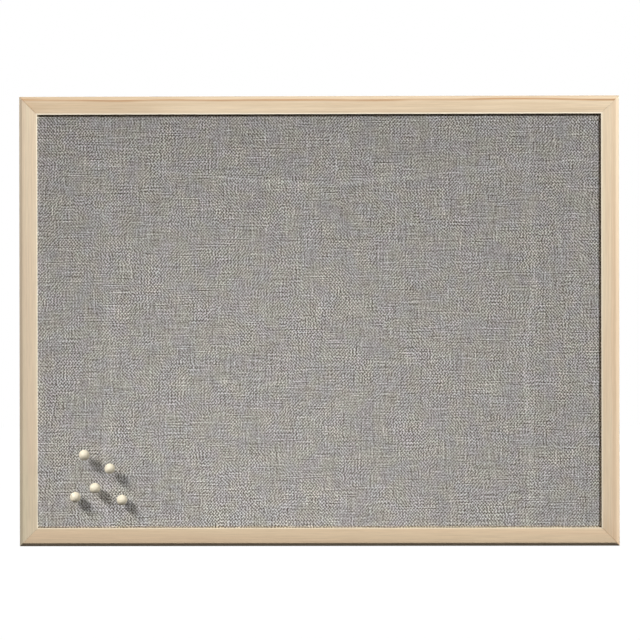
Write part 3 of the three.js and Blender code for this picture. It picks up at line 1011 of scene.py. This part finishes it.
def shapeCloth():
    s = clothSettings
    width, height = clothHigh.x - clothLow.x, clothHigh.z - clothLow.z
    bend, steps = s["bend"], s["bendSteps"]
    flatWidth, flatHeight = width - 2 * bend, height - 2 * bend
    columns, rows = round(flatWidth / s["cell"]), round(flatHeight / s["cell"])
    upright = Matrix.Rotation(quarter, 4, "X") @ Matrix.Diagonal((flatWidth, flatHeight, 1, 1))
    bm = bmesh.new()
    bmesh.ops.create_grid(bm, x_segments=columns, y_segments=rows, size=0.5, matrix=upright)
    edges = [edge for edge in bm.edges if edge.is_boundary]
    bmesh.ops.translate(bm, verts=bm.verts, vec=(0, clothLow.y, 0))
    angles = [quarter * i / steps for i in range(1, steps + 1)]
    turned = [(bend * (1 - sin(a)), clothLow.y + bend * (1 - cos(a))) for a in angles]
    turned.append((0, clothHigh.y - bend))
    turned += [(bend * (1 - cos(a)), clothHigh.y - bend * (1 - sin(a))) for a in angles]
    turned += [(s["hem"] * share, clothHigh.y) for share in s["hemRows"]]
    lastInset = bend
    for inset, deep in turned:
        run = bmesh.ops.extrude_edge_only(bm, edges=edges)["geom"]
        newX, newZ = width / 2 - inset, height / 2 - inset
        for vert in ofKind(run, BMVert):
            x, z = vert.co.x, vert.co.z
            onSide = abs(x) > width / 2 - lastInset - slack
            onEnd = abs(z) > height / 2 - lastInset - slack
            vert.co.x = copysign(newX if onSide else min(abs(x), newX), x)
            vert.co.z = copysign(newZ if onEnd else min(abs(z), newZ), z)
            vert.co.y = deep
        edges = [edge for edge in ofKind(run, BMEdge) if edge.is_boundary]
        lastInset = inset
    bmesh.ops.remove_doubles(bm, verts=bm.verts, dist=1e-5)
    bmesh.ops.translate(bm, verts=bm.verts, vec=boardMid)

    for entry in pinEntries:  # finer cells where a needle pulls the cloth in
        near = [
            edge for edge in bm.edges
            if all((vert.co - entry).length < s["fineReach"] for vert in edge.verts)
        ]
        bmesh.ops.subdivide_edges(bm, edges=near, cuts=s["fineCuts"], use_grid_fill=True)
    for vert in bm.verts:
        if abs(vert.co.y - clothLow.y) > slack:
            continue
        spot = vert.co.copy()
        wave = sum(
            share * noise.noise(Vector((spot.x * scaleX, seed, spot.z * scaleZ)))
            for scaleX, scaleZ, seed, share in s["waves"]
        )
        sunk = sum(
            exp(-((spot - entry).length / s["dimpleWidth"]) ** 2) for entry in pinEntries
        )
        vert.co.y += s["uneven"] * wave + s["dimple"] * min(sunk, 1)
    return bm


clothOpening = Vector((openingWidth / 2, 0, openingHeight / 2))
linen = newFinish(
    "linen", linenWeave, {"Middle": boardMid, "Opening": clothOpening}, clothShader, clothSettings["bump"]
)
cloth = addPiece(shapeCloth(), "fabric_cover", linen, sharpAngle=60)
wall = cloth.modifiers.new("clothWall", "SOLIDIFY")
wall.thickness = clothSettings["thickness"]
wall.offset = -1
wall.use_even_offset = True

boardSettings = {
    "pin_core": {"slot": "softboard", "finish": softboard, "ease": (0.8 * mm, 3)},
    "backing_board": {"slot": "hardboard", "finish": hardboard, "ease": (0.3 * mm, 2)},
}
for node, s in boardSettings.items():
    low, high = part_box(node)
    slab = bmesh.new()
    addBlock(slab, high - low, (low + high) / 2)
    ease(slab, list(slab.edges), *s["ease"])
    addPiece(slab, node, s["finish"])
print("panel made")


# Ring hangers, drawn with the ring's axis along X through the origin and the wood on the -Y side
ringSettings = {
    "wire": 0.9 * mm,
    "sides": 16,
    "radius": 5.1 * mm,
    "radiusSteps": 28,
    "leg": 4 * mm,
    "corner": 1.4 * mm,
    "cornerSteps": 6,
    "joint": 0.4 * mm,
}
screwSettings = {
    "headRadius": 2.6 * mm,
    "headHeight": 1.6 * mm,
    "headEase": 0.12 * mm,
    "dome": 0.7 * mm,
    "domeSteps": 8,
    "radius": 1.2 * mm,
    "length": 9 * mm,
    "tip": 3 * mm,
    "sides": 40,
    "seat": 0.05 * mm,
    "recessLength": 3.2 * mm,
    "recessWidth": 0.7 * mm,
    "recessDepth": 0.9 * mm,
    "twists": {"upper": 17, "lower": 58},  # degrees
}


def shapeStrap():
    s = hangerSettings
    half, outer = s["width"] / 2, s["barrel"]
    inner = outer - s["thickness"]
    bm = bmesh.new()
    rim = [bm.verts.new((-half, -radius, 0)) for radius in (outer, inner)]
    root = bm.edges.new(rim)
    roll = -radians(s["roll"])  # the barrel, rolled back towards the plate
    bmesh.ops.spin(bm, geom=rim + [root], axis=(1, 0, 0), angle=roll, steps=s["rollSteps"])
    run = bmesh.ops.extrude_edge_only(bm, edges=[root])["geom"]
    bmesh.ops.translate(bm, verts=ofKind(run, BMVert), vec=(0, 0, -s["length"]))
    runOn(bm, list(bm.faces), (s["width"], 0, 0))
    bmesh.ops.remove_doubles(bm, verts=bm.verts, dist=weld)
    roundEnd(bm, -s["length"], *s["endRound"])
    tools = bmesh.new()
    for drop in s["screwDrops"].values():
        hole = (0, -outer + s["thickness"] / 2, -drop)
        addBore(tools, s["pilot"], s["holeDepth"], hole, s["holeSides"])
    bm = carve(bm, tools)
    faceOut(bm)
    easeSharp(bm, *s["ease"])
    return bm


def shapeRing():
    s = ringSettings
    bm = bmesh.new()
    start = Matrix.Translation((s["joint"] / 2, 0, 0)) @ Matrix.Rotation(quarter, 4, "Y")
    disc = bmesh.ops.create_circle(bm, cap_ends=True, segments=s["sides"], radius=s["wire"], matrix=start)
    end = list(disc["verts"][0].link_faces)

    def bend(faces, centre, angle, steps):
        geom = faces + [edge for face in faces for edge in face.edges]
        geom += [vert for face in faces for vert in face.verts]
        run = bmesh.ops.spin(bm, geom=geom, cent=centre, axis=(0, 1, 0), angle=angle, steps=steps)
        return ofKind(run["geom_last"], BMFace)

    straight = s["radius"] - s["corner"]
    end = runOn(bm, end, (straight - s["joint"] / 2, 0, 0))
    end = bend(end, (straight, 0, -s["corner"]), quarter, s["cornerSteps"])
    end = runOn(bm, end, (0, 0, s["corner"] - s["leg"]))
    end = bend(end, (0, 0, -s["leg"]), pi, s["radiusSteps"])
    end = runOn(bm, end, (0, 0, s["leg"] - s["corner"]))
    end = bend(end, (-straight, 0, -s["corner"]), quarter, s["cornerSteps"])
    runOn(bm, end, (straight - s["joint"] / 2, 0, 0))
    return bm


def shapeScrew():
    s = screwSettings
    r, head, easing = s["radius"], s["headRadius"], s["headEase"]
    foot, point = s["seat"], s["seat"] - s["length"]
    crown = foot + s["headHeight"]
    domeRadius = (head ** 2 + s["dome"] ** 2) / (2 * s["dome"])
    rim = asin((domeRadius - s["dome"]) / domeRadius)
    profile = [(0, point), (r * 0.5, point + s["tip"] * 0.5), (r, point + s["tip"]), (r, foot)]
    profile += [(head - easing, foot), (head, foot + easing)]
    profile += domePoints(domeRadius, rim, s["domeSteps"], crown - domeRadius)
    bm = turnProfile(profile, s["sides"])
    bm.transform(Matrix.Rotation(-quarter, 4, "X"))  # head towards +Y
    tools = bmesh.new()
    depth = s["recessDepth"] + cutOver
    middle = (0, crown - s["recessDepth"] + depth / 2, 0)
    addBlock(tools, (s["recessLength"], depth, s["recessWidth"]), middle)
    addBlock(tools, (s["recessWidth"], depth, s["recessLength"]), middle)
    return carve(bm, tools)


h = hangerSettings
for side in ("left", "right"):
    stand = Matrix.Translation(jointOf["ring_" + side]["pos_m"])
    addPiece(shapeStrap(), f"hanger_strap_{side}", zincSteel, stand)
    addPiece(shapeRing(), f"hanger_ring_{side}", zincSteel, stand, f"ring_{side}")
    plateBack = h["thickness"] - h["barrel"]
    for place, drop in h["screwDrops"].items():
        twist = Matrix.Rotation(radians(screwSettings["twists"][place]), 4, "Y")
        seat = stand @ Matrix.Translation((0, plateBack, -drop)) @ twist
        addPiece(shapeScrew(), f"hanger_screw_{side}_{place}", zincSteel, seat)
print("hangers made")


# Floor and surroundings: white where they are seen or mirrored, dim as a source of light
stageSettings = {
    "floorDrop": 0.30,
    "floorReach": 7.0,
    "floorGlow": 0.94,
    "floorDim": (0.25, 0.25, 0.25, 1),
    "floorPale": (0.7, 0.7, 0.7, 1),
    "skyLevels": (0.02, 0.12),  # below, above
    "skyFade": (-0.25, 0.35),
}


def seenDirectly(tree):
    path = addNode(tree, "LightPath").outputs
    seen = calc("MAXIMUM", path["Is Camera Ray"], path["Is Glossy Ray"])
    return calc("MAXIMUM", seen, path["Is Transmission Ray"])


s = stageSettings
ground = bmesh.new()
groundPlace = Matrix.Translation((0, 0, bottomLow.z - s["floorDrop"]))
bmesh.ops.create_grid(ground, x_segments=1, y_segments=1, size=s["floorReach"], matrix=groundPlace)
floor = newObject(ground, "floor")
floorWhite = bpy.data.materials.new("floorWhite")
floorWhite.use_nodes = True
tree = floorWhite.node_tree
tree.nodes.remove(tree.nodes["Principled BSDF"])
dim = addNode(tree, "BsdfDiffuse", {"Color": s["floorDim"]}).outputs[0]
glow = addNode(tree, "Emission", {"Strength": s["floorGlow"]}).outputs[0]
pale = addNode(tree, "BsdfDiffuse", {"Color": s["floorPale"]}).outputs[0]
white = addNode(tree, "AddShader", {0: glow, 1: pale}).outputs[0]
shown = addNode(tree, "MixShader", {0: seenDirectly(tree), 1: dim, 2: white}).outputs[0]
tree.links.new(shown, tree.nodes["Material Output"].inputs["Surface"])
floor.data.materials.append(floorWhite)

scene.world = bpy.data.worlds.new("studio")
scene.world.use_nodes = True
tree = scene.world.node_tree
backdrop = tree.nodes["Background"]
backdrop.inputs["Color"].default_value = (1, 1, 1, 1)
up = splitXYZ(addNode(tree, "TexCoord").outputs["Generated"])["Z"]
ambient = addNode(tree, "Background", {"Strength": remap(up, s["skyFade"], s["skyLevels"])}).outputs[0]
shown = addNode(tree, "MixShader", {0: seenDirectly(tree), 1: ambient, 2: backdrop.outputs[0]}).outputs[0]
tree.links.new(shown, tree.nodes["World Output"].inputs["Surface"])
print("floor and surroundings made")

# Lamps, placed by azimuth to the right, elevation in degrees and distance from the board's middle.
# At level 1 a surface that faces the lamp shows its own colour. A lamp with an aim is a soft tall spot
# on one half of the board. A fan makes it several spots, turned and raised by so many degrees, which
# draws out the pins' shadows.
lampSettings = {
    "frameFill": {"place": (-14, 40, 3.0), "size": 1.0, "level": 0.925, "lights": "frame"},
    "frameSide": {"place": (72, 17, 3.0), "size": 1.0, "level": 1.0, "lights": "frame"},
    "pinKey": {
        "place": (-45.2, 36, 4.0), "size": 0.5, "level": 1.52, "lights": "cloth",
        "shadows": "pinsAndTop", "aim": (-0.205, -0.6), "spread": 0.422, "tall": 2.77,
        "fan": [(9.3, -5.1), (3.6, -2.1), (-1.1, 0.1), (-6.2, 1.8), (-12.3, 3.3)],
    },
    "clothKey": {
        "place": (48, 37, 4.0), "size": 0.25, "level": 1.395, "lights": "cloth",
        "shadows": "frame", "aim": (0.347, -0.6), "spread": 0.571, "tall": 2.77,
    },
    "lowFill": {"place": (4, -38, 0.9), "size": 0.5, "level": 0.25, "lights": "cloth"},
    "backRight": {"place": (156, 16, 2.2), "size": 1.2, "level": 0.62, "lights": "frame"},
    "backLeft": {"place": (-140, 16, 2.2), "size": 1.2, "level": 0.42, "lights": "frame"},
}
pinParts = [piece for node, piece in pieces.items() if node.startswith(("pin_head", "pin_needle"))]
clothParts = pinParts + [cloth]
lampGroups = {
    "frame": [piece for piece in pieces.values() if piece not in clothParts],
    "cloth": clothParts,
    "pinsAndTop": pinParts + [pieces["top_rail"]],
}
lampSets = {}
for name, parts in lampGroups.items():
    lampSets[name] = bpy.data.collections.new(name + "Lit")
    for part in parts:
        lampSets[name].objects.link(part)


def addLamp(name, s, turn, rise, share):
    isSpot = "aim" in s
    azimuth, elevation, away = s["place"]
    bulb = bpy.data.lights.new(name, "SPOT" if isSpot else "AREA")
    bulb.energy = share * s["level"] * (pi * away) ** 2
    if isSpot:
        bulb.energy *= 4
        bulb.shadow_soft_size = s["size"] / 2
        bulb.spot_size = 2 * atan(s["spread"] / away)
        bulb.spot_blend = 1
    else:
        bulb.shape = "DISK"
        bulb.size = s["size"]
    lamp = bpy.data.objects.new(name, bulb)
    lamp.scale.y = s.get("tall", 1)
    azimuth, elevation = radians(azimuth + turn), radians(elevation + rise)
    way = Vector((
        sin(azimuth) * cos(elevation),
        -cos(azimuth) * cos(elevation),
        sin(elevation),
    ))
    aimX, aimZ = s.get("aim", (0, 0))
    lamp.location = boardMid + Vector((aimX, 0, 0)) + way * away
    target = boardMid + Vector((aimX, 0, aimZ))
    lamp.rotation_euler = (lamp.location - target).to_track_quat("Z", "Y").to_euler()
    scene.collection.objects.link(lamp)
    lamp.light_linking.receiver_collection = lampSets[s["lights"]]
    if "shadows" in s:
        lamp.light_linking.blocker_collection = lampSets[s["shadows"]]


for name, s in lampSettings.items():
    fan = s.get("fan", [(0, 0)])
    for turn, rise in fan:
        addLamp(name, s, turn, rise, 1 / len(fan))
print("lamps made:", len(bpy.data.lights))
